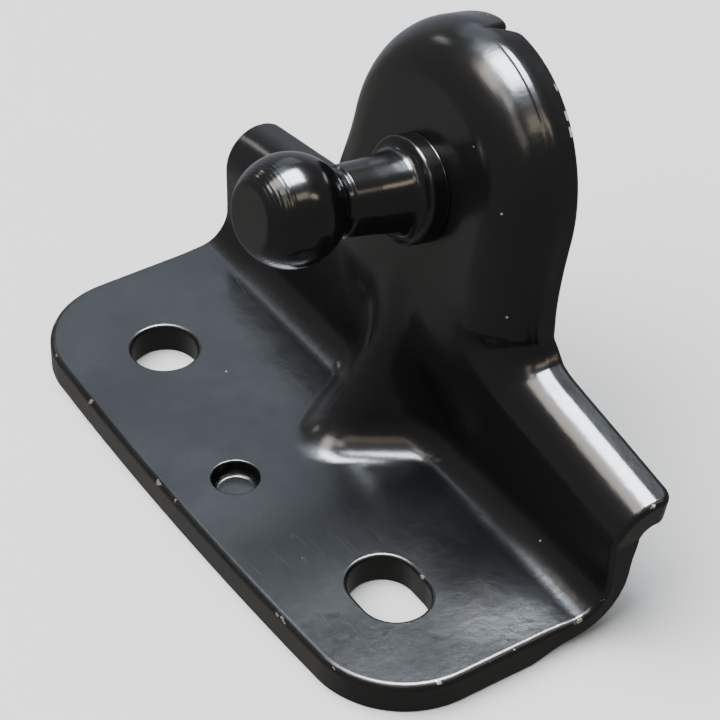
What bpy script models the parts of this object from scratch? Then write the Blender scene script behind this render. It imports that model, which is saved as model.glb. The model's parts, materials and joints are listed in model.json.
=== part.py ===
"""Ball-stud end bracket for a gas strut or a small linear actuator.

Two pieces: one pressed steel angle bracket, and one cold-headed ball stud riveted through its ear.
The origin is on the underside, midway between the two fixing holes. +X runs along the bend, +Y from
the free front edge towards the upright, and +Z up.
"""

import math

import bmesh
import bpy
import numpy as np
from mathutils import Matrix, Vector
from mathutils.geometry import delaunay_2d_cdt

MM = 0.001
GAP = 0.3 * MM

# Pressed sheet
SHEET = 3.0 * MM
HALF_WIDTH = 30.9 * MM
END_BULGE = 0.4 * MM
END_BULGE_RUN = (8.0 * MM, 14.0 * MM)
FRONT_Y = -10.1 * MM
FRONT_BOW = 0.45 * MM
BOW_SPAN = 20.0 * MM
CORNER_RADIUS = 9.0 * MM

# Fixing holes and locating dimple
HOLE_RADIUS = 3.2 * MM
HOLE_X = 19.05 * MM
SLOT_TRAVEL = 1.8 * MM
DIMPLE_RADIUS = 2.15 * MM
DIMPLE_DEPTH = 1.5 * MM
DIMPLE_FILLET = 0.6 * MM
DIMPLE_Y = -3.84 * MM

# Upright: two square wings, and an ear that leans back
WING_Y = 14.1 * MM
BEND_RADIUS = 3.0 * MM
EAR_LEAN = math.radians(12.0)
EAR_Y = 14.9 * MM
EAR_Z = 27.9 * MM
EAR_BLEND_X = (5.0 * MM, 15.0 * MM)
EAR_BLEND_Z = (17.0 * MM, 25.0 * MM)
EAR_FADE_Z = (4.0 * MM, 18.0 * MM)

# Dart pressed into the middle of the bend
DART_NOSE_Y = 3.9 * MM
DART_HALF_WIDTH = 6.4 * MM
DART_SIDE_Y = 13.4 * MM
DART_APEX_Y = 12.2 * MM
DART_APEX_Z = 17.0 * MM
DART_RIDGE_RADIUS = 3.2 * MM
DART_FILLET = 2.4 * MM

# Rim rolled back round the wings and the ear
WING_ROLL_RADIUS = 4.2 * MM
EAR_ROLL_RADIUS = 5.2 * MM
ROLL_BLEND_X = (9.0 * MM, 17.0 * MM)
RIM_FLANGE = 1.5 * MM
RIM_STEP = 1.1 * MM
RIM_STEP_X = -1.5 * MM
RIM_STEP_FADE = 14.0 * MM
RIM_REST = 0.6 * MM
RIM_REST_FADE = 15.0 * MM
WING_END_Z = 9.85 * MM
WING_SLOPE = 0.19
EAR_CORE_RADIUS = 8.45 * MM
EAR_CORE_RISE = 1.2 * MM
EAR_CORE_FLARE = 0.8 * MM
NECK_FILLET = 6.6 * MM

# Ball stud, measured along its axis from the ball's centre
BALL_RADIUS = 5.0 * MM
TIP_FLAT_RADIUS = 2.9 * MM
NECK_RADIUS = 2.95 * MM
NECK_END = 4.9 * MM
SHANK_START = 5.5 * MM
SHANK_START_RADIUS = 3.2 * MM
SHANK_END = 9.6 * MM
SHANK_END_RADIUS = 3.55 * MM
COLLAR_FACE = 11.2 * MM
COLLAR_RADIUS = 4.9 * MM
COLLAR_CHAMFER = 0.3 * MM
SHANK_FILLET_TURN = math.radians(72.0)
BALL_REACH = 13.3 * MM
RIVET_RADIUS = 2.9 * MM
RIVET_HOLE_RADIUS = RIVET_RADIUS + GAP
RIVET_HEAD_RADIUS = 4.6 * MM
RIVET_HEAD_RIM = 0.8 * MM
RIVET_HEAD_HEIGHT = 2.0 * MM

# Paint, one colour over both pieces
PAINT_COLOUR = (0.02, 0.021, 0.022)
BRACKET_ROUGHNESS = 0.25
STUD_ROUGHNESS = 0.2

# Sampling of the pressed face
FOLD_Y = 1.9 * MM
FOLD_Z = 17.0 * MM
FOLD_SPAN = 24.0 * MM
RIM_STEPS = (9, 3, 5, 6)
RIM_NUDGE = 0.0005
RIM_LEAN_STATIONS = (1.5, 3.0)
PLAIN_PITCH = 3.4 * MM
PLAIN_ROWS = range(-2, 3)
BEND_START = 10.7 * MM
BEND_PITCH = 0.55 * MM
BEND_ROWS = 9
DART_START = -2.0 * MM
DART_PITCH = 1.25 * MM
DART_COLUMNS = 9
DART_ROWS = 34
SIDE_PITCH = 4.2 * MM
SIDE_COLUMNS = 5
UPPER_PITCH = 2.5 * MM
UPPER_ROWS = 5
GRID_SHEAR = 0.01
EDGE_CLEARANCE = 0.6 * MM
CORNER_STEPS = 8
FRONT_STEPS = 12
ROLL_STEPS = 4
ROUND_STEPS = 48
BALL_STEPS = 16
FILLET_STEPS = 4
BISECTIONS = 40
SLOPE_STEP = 0.01 * MM
MERGE_DISTANCE = 0.01 * MM


def smoothstep(low, high, value):
    share = np.clip((value - low) / (high - low), 0.0, 1.0)
    return share * share * (3.0 - 2.0 * share)


def filleted(first, second, radius):
    """Distance to two forms joined with a fillet of this radius."""
    corner = np.hypot(np.maximum(radius - first, 0.0), np.maximum(radius - second, 0.0))
    return np.maximum(radius, np.minimum(first, second)) - corner


def rounded(first, second, radius):
    """Distance to what two forms share, with its edge rounded to this radius."""
    corner = np.hypot(np.maximum(radius + first, 0.0), np.maximum(radius + second, 0.0))
    return np.minimum(-radius, np.maximum(first, second)) + corner


def upright_y(x, z):
    """Front face of the wings and of the ear, as y for each x and z."""
    ear = EAR_Y + (z - EAR_Z) * math.tan(EAR_LEAN)
    beside = smoothstep(*EAR_BLEND_X, np.abs(x)) * (1.0 - smoothstep(*EAR_BLEND_Z, z))
    share = smoothstep(*EAR_FADE_Z, z) * (1.0 - beside)
    return WING_Y + (ear - WING_Y) * share


def dart_side():
    """Outward normal of the dart's side at +X, whose mirror image is its other side."""
    nose = Vector((0.0, DART_NOSE_Y, SHEET))
    apex = Vector((0.0, DART_APEX_Y, DART_APEX_Z))
    foot = Vector((DART_HALF_WIDTH, DART_SIDE_Y, SHEET))
    return (foot - nose).cross(apex - nose).normalized()


def clearance(points):
    """Distance in front of the pressed face, negative inside the metal."""
    x, y, z = points[..., 0], points[..., 1], points[..., 2]
    normal = dart_side()
    across = normal.y * (y - DART_NOSE_Y) + normal.z * (z - SHEET)
    dart = rounded(normal.x * x + across, -normal.x * x + across, DART_RIDGE_RADIUS)
    bend = filleted(z - SHEET, upright_y(x, z) - y, BEND_RADIUS)
    return filleted(bend, dart, DART_FILLET)


def pressed(x, run):
    """Points of the pressed face. The run goes over the plate, round the bend and up the ear."""
    angle = np.clip((run - FOLD_Y) / FOLD_SPAN, 0.0, 1.0) * (math.pi / 2)
    start = np.stack([x, np.minimum(run, FOLD_Y), np.full_like(x, FOLD_Z)], axis=-1)
    start[..., 2] += np.maximum(run - FOLD_Y - FOLD_SPAN, 0.0)
    aim = np.stack([np.zeros_like(x), np.sin(angle), -np.cos(angle)], axis=-1)
    near = np.zeros_like(x)
    far = np.full_like(x, 2 * FOLD_SPAN)
    for _ in range(BISECTIONS):
        middle = (near + far) / 2
        free = clearance(start + aim * middle[..., None]) > 0
        near = np.where(free, middle, near)
        far = np.where(free, far, middle)
    return start + aim * near[..., None]


def facing(points):
    """Unit normals of the pressed face at these points, out of the metal."""
    steps = SLOPE_STEP * np.eye(3)
    slopes = [clearance(points + step) - clearance(points - step) for step in steps]
    normals = np.stack(slopes, axis=-1)
    return normals / np.linalg.norm(normals, axis=-1, keepdims=True)


def run_at(x, z):
    """The run that reaches height z on the upright at this x."""
    y = upright_y(x, z)
    if z >= FOLD_Z:
        return FOLD_Y + FOLD_SPAN + z - FOLD_Z
    return FOLD_Y + FOLD_SPAN * math.atan2(y - FOLD_Y, FOLD_Z - z) / (math.pi / 2)


def arc(centre, radius, first, last, count):
    angles = [first + (last - first) * i / count for i in range(count + 1)]
    return [(centre[0] + radius * math.cos(a), centre[1] + radius * math.sin(a)) for a in angles]


def rim_path(station):
    """Where the rim's roll begins, as (x, z): crown, neck, fillet and wing, one station each."""
    if station < 0.0:
        x, z = rim_path(-station)
        return -x, z
    lean = math.cos(EAR_LEAN)
    slope = math.atan(WING_SLOPE)
    end_x = HALF_WIDTH + END_BULGE
    neck_x = EAR_CORE_RADIUS + EAR_CORE_FLARE
    fillet_x = neck_x + NECK_FILLET
    wing_z = WING_END_Z + WING_SLOPE * (end_x - fillet_x)
    fillet_z = wing_z + NECK_FILLET / math.cos(slope)
    top_z = EAR_Z + EAR_CORE_RISE * lean
    if station <= 1.0:
        angle = math.pi / 2 * (1.0 - station)
        return EAR_CORE_RADIUS * math.cos(angle), top_z + EAR_CORE_RADIUS * lean * math.sin(angle)
    if station <= 2.0:
        share = station - 1.0
        return EAR_CORE_RADIUS + EAR_CORE_FLARE * share**2, top_z + (fillet_z - top_z) * share
    if station <= 3.0:
        angle = math.pi + (math.pi / 2 - slope) * (station - 2.0)
        return fillet_x + NECK_FILLET * math.cos(angle), fillet_z + NECK_FILLET * math.sin(angle)
    start_x = fillet_x - NECK_FILLET * math.sin(slope)
    x = start_x + (end_x - start_x) * (station - 3.0)
    return x, WING_END_Z + WING_SLOPE * (end_x - x)


def rim_stations():
    """Stations along the rim from the end at -X to the end at +X."""
    half = []
    for first, steps in enumerate(RIM_STEPS):
        half += [first + i / steps for i in range(steps)]
    half.append(float(len(RIM_STEPS)))
    return [-station for station in half[:0:-1]] + half


def rim_base(stations):
    """Points of the pressed face where the roll begins."""
    path = [rim_path(station) for station in stations]
    return pressed(np.array([x for x, _ in path]), np.array([run_at(x, z) for x, z in path]))


def rim_facing(stations):
    """Unit normals that the roll turns away from: it ends square to the ear or to the wing."""
    lean = EAR_LEAN * (1.0 - smoothstep(*RIM_LEAN_STATIONS, np.abs(stations)))
    return np.stack([np.zeros_like(lean), -np.cos(lean), np.sin(lean)], axis=-1)


def front_y(x):
    return FRONT_Y + FRONT_BOW * (x / BOW_SPAN) ** 2


def plate_edge():
    """Outline of the plate from the fold at +X round the front to the fold at -X, as (x, run)."""
    centre_x = HALF_WIDTH - CORNER_RADIUS
    centre = (centre_x, front_y(centre_x) + CORNER_RADIUS)
    corner = arc(centre, CORNER_RADIUS, 0.0, -math.pi / 2, CORNER_STEPS)
    front = [(x, front_y(x)) for x in np.linspace(centre_x, -centre_x, FRONT_STEPS + 1)[1:-1]]
    return corner + front + [(-x, y) for x, y in reversed(corner)]


def blank_points():
    """(outline, inner points) of the sheet inside the roll, as (x, run)."""
    rim = [(x, run_at(x, z)) for x, z in (rim_path(station) for station in rim_stations())]
    plain = [i * PLAIN_PITCH for i in PLAIN_ROWS]
    bend = [BEND_START + i * BEND_PITCH for i in range(BEND_ROWS)]
    ends = [run for run in plain if run >= 0.0] + bend
    side = [(HALF_WIDTH + END_BULGE * smoothstep(*END_BULGE_RUN, run), run) for run in ends]
    outline = rim + side[::-1] + plate_edge() + [(-x, run) for x, run in side]
    across = [i * DART_PITCH for i in range(DART_COLUMNS)]
    beside = [i * SIDE_PITCH for i in range(1, SIDE_COLUMNS)]
    dart = [DART_START + i * DART_PITCH for i in range(DART_ROWS)]
    upper = [bend[-1] + i * UPPER_PITCH for i in range(1, UPPER_ROWS)]
    inner = [(x, run) for x in across for run in dart]
    inner += [(across[-1] + x, run) for x in beside for run in plain + bend + upper]
    inner = [(x + GRID_SHEAR * run * (x > 0.0), run) for x, run in inner]
    inner += [(-x, run) for x, run in inner if x]
    return outline, inner


def inside(outline, x, y):
    odd = False
    for (ax, ay), (bx, by) in zip(outline, outline[1:] + outline[:1]):
        if (ay > y) != (by > y) and x < ax + (bx - ax) * (y - ay) / (by - ay):
            odd = not odd
    return odd


def clear_of_outline(outline, x, y, distance):
    point = np.array((x, y))
    ends = np.array(outline)
    along = np.roll(ends, -1, axis=0) - ends
    share = np.clip(((point - ends) * along).sum(axis=1) / (along * along).sum(axis=1), 0.0, 1.0)
    return np.linalg.norm(ends + along * share[:, None] - point, axis=1).min() > distance


def roll_radius(x):
    return EAR_ROLL_RADIUS + (WING_ROLL_RADIUS - EAR_ROLL_RADIUS) * smoothstep(*ROLL_BLEND_X, np.abs(x))


def rim_flange(x):
    """Length of the rim's straight part. One trim stroke stands proud of the other by a step."""
    if x >= RIM_STEP_X:
        return RIM_FLANGE + RIM_REST * (1.0 - smoothstep(0.0, RIM_REST_FADE, x - RIM_STEP_X))
    return RIM_FLANGE + RIM_STEP * (1.0 - smoothstep(0.0, RIM_STEP_FADE, RIM_STEP_X - x))


def bracket_face():
    """The pressed face as one open mesh: the sheet inside the roll, and the rolled rim."""
    outline, inner = blank_points()
    kept = [p for p in inner if inside(outline, *p) and clear_of_outline(outline, *p, EDGE_CLEARANCE)]
    flat = [Vector(p) for p in outline + kept]
    loop = [(i, (i + 1) % len(outline)) for i in range(len(outline))]
    flat, _, faces, sources, *_ = delaunay_2d_cdt(flat, loop, [], 0, 1e-7)
    place = {source: i for i, found in enumerate(sources) for source in found}
    runs = np.array([tuple(p) for p in flat])
    centres = [runs[list(face)].mean(axis=0) for face in faces]
    faces = [face for face, centre in zip(faces, centres) if inside(outline, *centre)]
    points = pressed(runs[:, 0], runs[:, 1])

    stations = np.array(rim_stations())
    base = rim_base(stations)
    along = rim_base(stations + RIM_NUDGE) - rim_base(stations - RIM_NUDGE)
    start = facing(base)
    end = rim_facing(stations)
    radii = roll_radius(base[:, 0])[:, None]
    rows = []
    for step in range(1, ROLL_STEPS + 1):
        angle = math.pi / 2 * step / ROLL_STEPS
        normals = start + (end - start) * smoothstep(0.0, math.pi / 2, angle)
        normals /= np.linalg.norm(normals, axis=1, keepdims=True)
        outward = np.cross(normals, along)
        outward /= np.linalg.norm(outward, axis=1, keepdims=True)
        rows.append(base + radii * (outward * math.sin(angle) - normals * (1.0 - math.cos(angle))))
    lengths = np.array([rim_flange(x) for x in base[:, 0]])
    rows.append(rows[-1] - end * lengths[:, None])

    mesh = bmesh.new()
    sheet = [mesh.verts.new(p) for p in points]
    for face in faces:
        mesh.faces.new([sheet[i] for i in face])
    below = [sheet[place[i]] for i in range(len(base))]
    for row in rows:
        above = [mesh.verts.new(p) for p in row]
        for i in range(len(base) - 1):
            mesh.faces.new((below[i], below[i + 1], above[i + 1], above[i]))
        below = above
    loose = [v for v in mesh.verts if not v.link_faces]
    bmesh.ops.delete(mesh, geom=loose, context="VERTS")
    bmesh.ops.recalc_face_normals(mesh, faces=mesh.faces)
    lowest = min(mesh.faces, key=lambda face: face.calc_center_median().y)
    if lowest.normal.z < 0:
        bmesh.ops.reverse_faces(mesh, faces=mesh.faces)
    return mesh


def new_object(name, mesh, collection):
    data = bpy.data.meshes.new(name)
    mesh.to_mesh(data)
    mesh.free()
    made = bpy.data.objects.new(name, data)
    collection.objects.link(made)
    return made


def new_collection(name):
    made = bpy.data.collections.new(name)
    bpy.context.scene.collection.children.link(made)
    return made


def paint(name, roughness):
    made = bpy.data.materials.new(name)
    made.use_nodes = True
    shader = made.node_tree.nodes["Principled BSDF"]
    shader.inputs["Base Color"].default_value = (*PAINT_COLOUR, 1.0)
    shader.inputs["Roughness"].default_value = roughness
    return made


def turned(name, profile, collection, placed):
    """A piece turned round Z from (radius, height) points that run down its outer side."""
    mesh = bmesh.new()
    verts = [mesh.verts.new((radius, 0.0, height)) for radius, height in profile]
    for upper, lower in zip(verts, verts[1:]):
        mesh.edges.new((upper, lower))
    made = new_object(name, mesh, collection)
    made.matrix_world = placed
    screw = made.modifiers.new("Turn", "SCREW")
    screw.steps = ROUND_STEPS
    screw.render_steps = ROUND_STEPS
    screw.use_merge_vertices = True
    screw.merge_threshold = MERGE_DISTANCE
    return made


def cut(target, cutter):
    made = target.modifiers.new(cutter.name, "BOOLEAN")
    made.operation = "DIFFERENCE"
    made.solver = "EXACT"
    made.object = cutter


def slot_cutter(name, x, travel, collection):
    """An upright bar with round ends, longer than the sheet is thick."""
    half = ROUND_STEPS // 2
    right = arc((x + travel / 2, 0.0), HOLE_RADIUS, -math.pi / 2, math.pi / 2, half)
    left = arc((x - travel / 2, 0.0), HOLE_RADIUS, math.pi / 2, 1.5 * math.pi, half)
    outline = right + left if travel else right + left[1:-1]
    mesh = bmesh.new()
    base = mesh.faces.new([mesh.verts.new((px, py, -SHEET)) for px, py in outline])
    raised = bmesh.ops.extrude_face_region(mesh, geom=[base])["geom"]
    lifted = [v for v in raised if isinstance(v, bmesh.types.BMVert)]
    bmesh.ops.translate(mesh, verts=lifted, vec=(0.0, 0.0, 3 * SHEET))
    bmesh.ops.recalc_face_normals(mesh, faces=mesh.faces)
    return new_object(name, mesh, collection)


def stud_frame():
    """Places a turned piece's Z on the stud's axis, pointing out of the ear, with the ball's centre at 0."""
    axis = Vector((0.0, -math.cos(EAR_LEAN), math.sin(EAR_LEAN)))
    ball = Vector((0.0, EAR_Y, EAR_Z)) + axis * BALL_REACH
    return Matrix.Translation(ball) @ axis.to_track_quat("Z", "Y").to_matrix().to_4x4()


def stud_profile():
    tip = math.acos(TIP_FLAT_RADIUS / BALL_RADIUS)
    neck = -math.acos(NECK_RADIUS / BALL_RADIUS)
    ball = arc((0.0, 0.0), BALL_RADIUS, tip, neck, BALL_STEPS)
    flare = COLLAR_FACE - SHANK_END
    centre = (SHANK_END_RADIUS + flare, -SHANK_END)
    fillet = arc(centre, flare, math.pi, math.pi + SHANK_FILLET_TURN, FILLET_STEPS)
    back = -(BALL_REACH - GAP)
    tail = -(BALL_REACH + SHEET + GAP)
    round_height = RIVET_HEAD_HEIGHT - RIVET_HEAD_RIM
    dome = [
        (x * RIVET_HEAD_RADIUS, tail - RIVET_HEAD_RIM + y * round_height)
        for x, y in arc((0.0, 0.0), 1.0, 0.0, -math.pi / 2, FILLET_STEPS)
    ]
    return (
        [(0.0, BALL_RADIUS * math.sin(tip))]
        + ball
        + [(NECK_RADIUS, -NECK_END), (SHANK_START_RADIUS, -SHANK_START)]
        + fillet
        + [(COLLAR_RADIUS - COLLAR_CHAMFER, -COLLAR_FACE), (COLLAR_RADIUS, -COLLAR_FACE - COLLAR_CHAMFER)]
        + [(COLLAR_RADIUS, back), (RIVET_RADIUS, back), (RIVET_RADIUS, tail)]
        + [(RIVET_HEAD_RADIUS, tail)]
        + dome
    )


def dimple_profile():
    """A blind pocket with a flat floor in a fillet, and its mouth above the plate."""
    centre = (DIMPLE_RADIUS - DIMPLE_FILLET, DIMPLE_FILLET - DIMPLE_DEPTH)
    fillet = arc(centre, DIMPLE_FILLET, 0.0, -math.pi / 2, FILLET_STEPS)
    return [(0.0, SHEET), (DIMPLE_RADIUS, SHEET)] + fillet + [(0.0, -DIMPLE_DEPTH)]


def rivet_hole_profile():
    """A plain bar that passes both faces of the ear."""
    front = -(BALL_REACH - SHEET)
    back = -(BALL_REACH + 2 * SHEET)
    return [(0.0, front), (RIVET_HOLE_RADIUS, front), (RIVET_HOLE_RADIUS, back), (0.0, back)]


def main():
    for old in list(bpy.data.objects):
        bpy.data.objects.remove(old, do_unlink=True)
    parts = new_collection("ball_stud_bracket")
    cutters = new_collection("cutters")
    cutters.hide_render = True

    bracket = new_object("bracket", bracket_face(), parts)
    thickness = bracket.modifiers.new("Sheet", "SOLIDIFY")
    thickness.thickness = SHEET
    thickness.offset = -1.0
    thickness.use_even_offset = True

    stud = turned("ball_stud", stud_profile(), parts, stud_frame())

    hole = slot_cutter("fixing_hole_cutter", -HOLE_X, 0.0, cutters)
    slot = slot_cutter("fixing_slot_cutter", HOLE_X, SLOT_TRAVEL, cutters)
    rivet_hole = turned("rivet_hole_cutter", rivet_hole_profile(), cutters, stud_frame())
    dimple_place = Matrix.Translation((0.0, DIMPLE_Y, SHEET))
    dimple = turned("dimple_cutter", dimple_profile(), cutters, dimple_place)
    for cutter in (hole, slot, rivet_hole, dimple):
        cutter.hide_render = True
        cutter.display_type = "WIRE"
        cut(bracket, cutter)

    bracket.data.materials.append(paint("black_paint", BRACKET_ROUGHNESS))
    stud.data.materials.append(paint("black_paint_on_stud", STUD_ROUGHNESS))


main()
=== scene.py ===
import json
import math

import bmesh
import bpy
import numpy as np
from mathutils import Matrix, Vector
from mathutils.geometry import delaunay_2d_cdt


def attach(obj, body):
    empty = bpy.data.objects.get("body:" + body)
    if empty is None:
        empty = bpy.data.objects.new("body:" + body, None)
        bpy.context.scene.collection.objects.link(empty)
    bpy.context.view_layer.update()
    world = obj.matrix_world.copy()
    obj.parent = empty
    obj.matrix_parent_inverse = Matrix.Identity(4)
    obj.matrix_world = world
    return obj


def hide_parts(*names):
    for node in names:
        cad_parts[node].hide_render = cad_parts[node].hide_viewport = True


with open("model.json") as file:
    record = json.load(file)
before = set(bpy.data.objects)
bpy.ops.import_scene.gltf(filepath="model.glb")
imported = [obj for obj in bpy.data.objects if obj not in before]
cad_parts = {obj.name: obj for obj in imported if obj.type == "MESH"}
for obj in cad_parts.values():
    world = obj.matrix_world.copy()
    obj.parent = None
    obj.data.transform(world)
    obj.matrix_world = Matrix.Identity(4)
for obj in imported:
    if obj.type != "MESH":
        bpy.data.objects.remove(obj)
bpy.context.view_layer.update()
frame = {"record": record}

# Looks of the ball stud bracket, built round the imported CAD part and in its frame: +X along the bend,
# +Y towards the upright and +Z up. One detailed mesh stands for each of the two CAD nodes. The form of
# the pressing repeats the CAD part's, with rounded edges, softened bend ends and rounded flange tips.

MM = 0.001
SEAT = {mount["name"]: Vector(mount["pos_m"]) for mount in frame["record"]["mounts"]}

# Pressed sheet
SHEET = SEAT["hole_seat"].z
HALF_WIDTH = 30.9 * MM
END_BULGE = 0.4 * MM
END_BULGE_RUN = (8.0 * MM, 14.0 * MM)
FRONT_Y = -10.1 * MM
FRONT_BOW = 0.45 * MM
BOW_SPAN = 20.0 * MM
CORNER_RADIUS = 9.0 * MM
BEND_LINE = (14.5 * MM, 2.5 * MM)
BEND_REACH = (3.5 * MM, 8.5 * MM)
END_SHRINK = 0.85 * MM
END_SHRINK_REACH = 5.0 * MM

# Fixing holes and locating dimple
HOLE_RADIUS = 3.2 * MM
HOLE_X = SEAT["slot_seat"].x
SLOT_TRAVEL = 1.8 * MM
DIMPLE_RADIUS = 2.15 * MM
DIMPLE_DEPTH = 1.5 * MM
DIMPLE_FILLET = 0.6 * MM
DIMPLE_Y = -3.84 * MM

# Upright: two square wings, and an ear that leans back
WING_Y = 14.1 * MM
BEND_RADIUS = 3.0 * MM
EAR_LEAN = math.radians(12.0)
EAR_Y = 14.9 * MM
EAR_Z = 27.9 * MM
EAR_BLEND_X = (5.0 * MM, 15.0 * MM)
EAR_BLEND_Z = (17.0 * MM, 25.0 * MM)
EAR_FADE_Z = (4.0 * MM, 18.0 * MM)

# Dart pressed into the middle of the bend
DART_NOSE_Y = 3.9 * MM
DART_HALF_WIDTH = 6.4 * MM
DART_SIDE_Y = 13.4 * MM
DART_APEX_Y = 12.2 * MM
DART_APEX_Z = 17.0 * MM
DART_RIDGE_RADIUS = 3.2 * MM
DART_FILLET = 2.4 * MM

# Rim rolled back round the wings and the ear
WING_ROLL_RADIUS = 4.2 * MM
EAR_ROLL_RADIUS = 5.15 * MM
ROLL_BLEND_X = (9.0 * MM, 17.0 * MM)
RIM_FLANGE = 1.5 * MM
RIM_STEP = 1.1 * MM
RIM_STEP_X = -0.9 * MM
RIM_STEP_SLOPE = 0.12 * MM
RIM_STEP_ROUND = 0.75 * MM
RIM_STEP_FADE = 14.0 * MM
RIM_REST = 0.6 * MM
RIM_REST_FADE = 15.0 * MM
RIM_NICK = 2.1 * MM
RIM_NICK_RUN = 1.5 * MM
WING_FLANGE = (0.3 * MM, 0.15 * MM)
RIM_TIP_RADIUS = 0.8 * MM
RIM_LEAN_STATIONS = (1.5, 3.0)
RIM_NUDGE = 0.0005
WING_END_Z = 9.85 * MM
WING_SLOPE = 0.19
EAR_CORE_RADIUS = 8.45 * MM
EAR_CORE_RISE = 1.15 * MM
EAR_CORE_FLARE = 0.8 * MM
NECK_FILLET = (7.4 * MM, 7.1 * MM)
NECK_WIDER = 0.4 * MM
LEFT_RISE = 0.25 * MM
LEFT_RISE_STATIONS = (3.2, 4.0)

# Die line pressed along the rim: a scored lip on the ear's +X side, and a crease on the wings
LINE_TURN = (1.34, 1.53)
LINE_STATIONS = (1.7, 2.7)
SCORE_DEPTH = 0.035 * MM
SCORE_WIDTH = 0.16 * MM
LIP_HEIGHT = 0.05 * MM
LIP_RISE = 0.45 * MM
LIP_FALL = 1.7 * MM
LIP_START_X = (0.5 * MM, 2.5 * MM)
FLANGE_DROOP = 0.07
CREASE_ROUND = 0.08 * MM
LINE_BAND = (0.45 * MM, 0.6 * MM)
LINE_EDGE_ROOM = 1.2 * LINE_BAND[1]

# Edges left by the blanking die: rolled over in front, sharp behind
EDGE_ROUND = 0.6 * MM
EDGE_BACK = 0.15 * MM
HOLE_ROUND = 0.35 * MM
SMALL_ROUND = 0.2 * MM
BACK_CORNER_WEAR = 0.6

# Ball stud. Its tip is flat, and tool marks ring the tip and the ball round it
BALL_RADIUS = 5.0 * MM
BALL_REACH = 13.3 * MM
BALL_END = math.radians(53.5)
TIP_FLAT_RADIUS = 2.9 * MM
TIP_FLAT_EDGE = 0.1 * MM
TIP_TURN = math.radians(1.5)
TIP_RINGS = (0.3 * MM, 2.7 * MM)
TIP_RING_PITCH = 0.36 * MM
TIP_RING_WIDTH = 0.12 * MM
TIP_RING_DEPTH = 0.008 * MM
TOOL_MARK_DEPTH = 0.012 * MM
TOOL_MARK_PITCH = math.radians(4.5)
TOOL_MARK_FADE = (math.radians(16.0), math.radians(48.0))
RIVET_RADIUS = 2.9 * MM
RIVET_HOLE_RADIUS = 3.2 * MM

# The stud's corners behind its ball, as (radius, distance from the ball's centre, rounding) in mm:
# undercut, tapered shank, fillet, step and collar
SHANK_CORNERS = (
    (2.93, 4.35, 0.25),
    (2.96, 4.72, 0.1),
    (3.17, 4.95, 0.12),
    (3.3, 7.6, 3.0),
    (3.55, 9.9, 2.0),
    (3.72, 11.1, 0.9),
    (4.2, 11.26, 0.06),
    (4.24, 11.32, 0.04),
    (4.32, 11.3, 0.04),
    (4.86, 11.45, 0.36),
    (4.9, 12.98, 0.06),
    (4.84, 13.03, 0.03),
    (4.87, 13.12, 0.03),
    (4.86, 13.28, 0.03),
)
COLLAR_FACE = 13.28 * MM

# Corners of its peened head, as (radius, distance behind the ear, rounding) in mm
RIVET_HEAD_CORNERS = (
    (4.55, 0.0, 0.12),
    (4.55, 0.55, 0.4),
    (3.6, 1.65, 1.2),
    (1.6, 2.0, 1.0),
    (0.0, 1.94, 0.0),
)

# Slight dish left in the plate by the press, shown by the paint's shine
DISH_CENTRE = (23.7 * MM, 8.0 * MM, 3.0 * MM)
DISH_RADIUS = 8.0 * MM
DISH_HEIGHT = 0.24 * MM

# Places where the paint is knocked off the ear's edge
EDGE_NICKS = [(x * MM, y * MM, z * MM) for x, y, z in (
    (3.0, 23.7, 40.8), (6.9, 23.7, 39.2), (9.1, 23.7, 37.7), (10.1, 23.4, 36.7)
)]
NICK_RADIUS = 0.9 * MM

# Paint: colours, and how many cells or waves of each detail go to a metre
PAINT_COLOURS = ((0.003, 0.0032, 0.0038, 1.0), (0.0065, 0.0066, 0.0066, 1.0))
DUST_COLOUR = (0.4, 0.39, 0.37, 1.0)
CHIP_COLOUR = (0.42, 0.41, 0.39, 1.0)
SCRATCH_COLOUR = (0.25, 0.24, 0.23, 1.0)
NICK_COLOUR = (0.7, 0.69, 0.66, 1.0)
CLOUD_SCALE = 90.0
PATCH_SCALE = 130.0
WAVE_SCALE = 170.0
CHIP_SCALE = 650.0
DUST_SCALE = 850.0
GLOSS_SCALE = 900.0
PEEL_SCALE = 1300.0
GRAIN_SCALE = 5200.0
SCRATCH_SCALE = (60.0, 900.0, 260.0)
SCRATCH_TURN = (0.3, 0.2, 0.9)

# Least and most roughness, and the orange peel's strength
BRACKET_FINISH = (0.17, 0.21, 0.7)
STUD_FINISH = (0.12, 0.16, 0.2)

# Floor, and the dim warm room round it: lighter behind the part, where it is cooler, and low on its left
FLOOR_REACH = 1.5
FLOOR_Z = -0.02 * MM
PAPER_COLOUR = (0.93, 0.93, 0.93, 1.0)
PAPER_ROUGHNESS = 0.75
ROOM_COLOUR = (1.0, 0.97, 0.92, 1.0)
ROOM_COLOUR_BEHIND = (0.85, 0.9, 1.0, 1.0)
ROOM_GLOW = 0.25
BEHIND = ((-0.86, 0.5, 0.0), 0.75, 0.95)
BEHIND_GLOW = 0.3
BELOW = ((-0.6, -0.5, -0.62), 0.84, 0.95)
BELOW_GLOW = 0.12

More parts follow.
